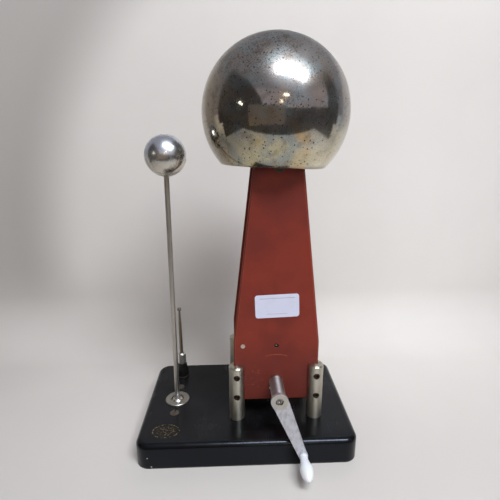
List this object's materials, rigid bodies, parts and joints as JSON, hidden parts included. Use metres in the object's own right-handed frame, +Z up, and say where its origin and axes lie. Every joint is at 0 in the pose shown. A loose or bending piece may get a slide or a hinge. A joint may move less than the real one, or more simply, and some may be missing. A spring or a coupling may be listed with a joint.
{
  "type": "hand cranked van de graaff generator",
  "caption": "Hand-cranked belt generator: red tower on a black base, round metal dome, geared crank, tilting discharge ball and earth terminal.",
  "frame": {"origin": "middle of the base's footprint, on the table", "axes": "+Z up, +X from the discharge rod towards the tower, -Y towards the crank and the user"},
  "size_m": [0.192, 0.1592, 0.3507],
  "materials": {
    "base_enamel": "gloss black stove enamel, chipped at a corner",
    "cover_board": "bare hardboard",
    "felt": "pressed felt",
    "screw_steel": "dull plated steel",
    "screw_brown": "browned steel in a sunk hole",
    "post_nickel": "turned, satin, faintly warm",
    "plate_red": "matt brick-red insulating sheet with cut edges",
    "label_paper": "plain white sticker",
    "tie_metal": "satin",
    "bush_bronze": "oiled bronze",
    "gear_steel": "dark oiled steel",
    "pinion_brass": "machined brass",
    "shaft_steel": "ground steel",
    "crank_sleeve_steel": "drawn tube",
    "crank_arm_alloy": "rumbled alloy",
    "socket_screw": "dark plated",
    "knob_white": "white turned plastic",
    "roller_plastic": "turned nylon",
    "belt_rubber": "thin tan rubber",
    "comb_brass": "cut sheet",
    "earth_copper": "tinned strip",
    "seat_brass": "spun disc",
    "dome_plate": "polished plate, pitted and tarnished",
    "socket_block": "milled block",
    "bezel_alloy": "turned ring",
    "rod_nickel": "plated rod, slightly warm",
    "ball_plate": "bright plate",
    "ferrule_chrome": "bright plate",
    "terminal_black": "fluted moulding",
    "fibre_brown": "vulcanised fibre",
    "collar_nickel": "plated hexagon",
    "probe_brown": "browned steel"
  },
  "bodies": {
    "base": {"base_pan": "base_enamel", "base_cover": "cover_board", "base_felt": "felt", "cover_screws": "screw_steel", "post_front_left": "post_nickel", "post_front_right": "post_nickel", "post_rear_left": "post_nickel", "post_rear_right": "post_nickel", "post_screws": "screw_steel", "front_plate": "plate_red", "rear_plate": "plate_red", "plate_screws": "screw_brown", "plain_label": "label_paper", "tie_bar": "tie_metal", "tie_bar_screws": "tie_metal", "front_bush": "bush_bronze", "rear_bush": "bush_bronze", "drive_belt": "belt_rubber", "lower_comb_rod": "comb_brass", "lower_comb": "comb_brass", "comb_lead": "comb_brass", "lead_nut": "comb_brass", "upper_comb": "comb_brass", "top_bridge": "tie_metal", "bridge_screws": "screw_steel", "dome_stud": "shaft_steel", "dome_stud_nut": "shaft_steel", "dome_seat": "seat_brass", "joint_socket": "socket_block", "foot_screws": "screw_brown", "rod_bezel": "bezel_alloy", "terminal_stud": "comb_brass", "terminal_washer": "fibre_brown", "terminal_lock_nut": "screw_steel", "earth_strap": "earth_copper"},
    "crank": {"crank_shaft": "shaft_steel", "crank_gear": "gear_steel", "shaft_collar": "shaft_steel", "crank_sleeve": "crank_sleeve_steel", "crank_arm": "crank_arm_alloy", "crank_screw": "socket_screw", "crank_grub_screw": "screw_steel", "knob_spindle": "shaft_steel"},
    "knob": {"crank_knob": "knob_white"},
    "lower_roller_set": {"lower_axle": "shaft_steel", "lower_roller": "roller_plastic", "pinion_gear": "pinion_brass"},
    "upper_roller_set": {"upper_axle": "shaft_steel", "upper_roller": "roller_plastic"},
    "dome": {"dome": "dome_plate"},
    "discharge_arm": {"joint_ball": "ball_plate", "rod_ferrule": "ferrule_chrome", "discharge_rod": "rod_nickel", "discharge_ball": "ball_plate"},
    "terminal_knob": {"terminal_nut": "terminal_black"},
    "probe": {"probe_collar": "collar_nickel", "probe_pin": "probe_brown"}
  },
  "joints": [
    {"name": "crank_turn", "type": "hinge", "parent": "base", "child": "crank", "pos_m": [0.0272, 0, 0.0578], "axis": [0, 1, 0], "continuous": true},
    {"name": "knob_spin", "type": "hinge", "parent": "crank", "child": "knob", "pos_m": [0.04637, -0.08, 0.01412], "axis": [0, 1, 0], "continuous": true},
    {"name": "lower_roller_turn", "type": "hinge", "parent": "base", "child": "lower_roller_set", "pos_m": [0.0272, 0, 0.0938], "axis": [0, 1, 0], "continuous": true},
    {"name": "upper_roller_turn", "type": "hinge", "parent": "base", "child": "upper_roller_set", "pos_m": [0.0272, 0, 0.294], "axis": [0, 1, 0], "continuous": true},
    {"name": "dome_lift", "type": "slide", "parent": "base", "child": "dome", "axis": [0, 0, 1], "range_m": [0, 0.12]},
    {"name": "discharge_tilt", "type": "hinge", "parent": "base", "child": "discharge_arm", "pos_m": [-0.0676, -0.001, 0.0185], "axis": [0, 1, 0], "range_deg": [-22, 5]},
    {"name": "terminal_turn", "type": "hinge", "parent": "base", "child": "terminal_knob", "pos_m": [-0.068, 0.0415, 0.03], "axis": [0, 0, 1], "continuous": true},
    {"name": "probe_lift", "type": "slide", "parent": "base", "child": "probe", "axis": [0, 0, 1], "range_m": [0, 0.03]}
  ],
  "couplings": [
    {"joint": "lower_roller_turn", "follows": "crank_turn", "ratio": -3},
    {"joint": "upper_roller_turn", "follows": "crank_turn", "ratio": -3.5357}
  ]
}
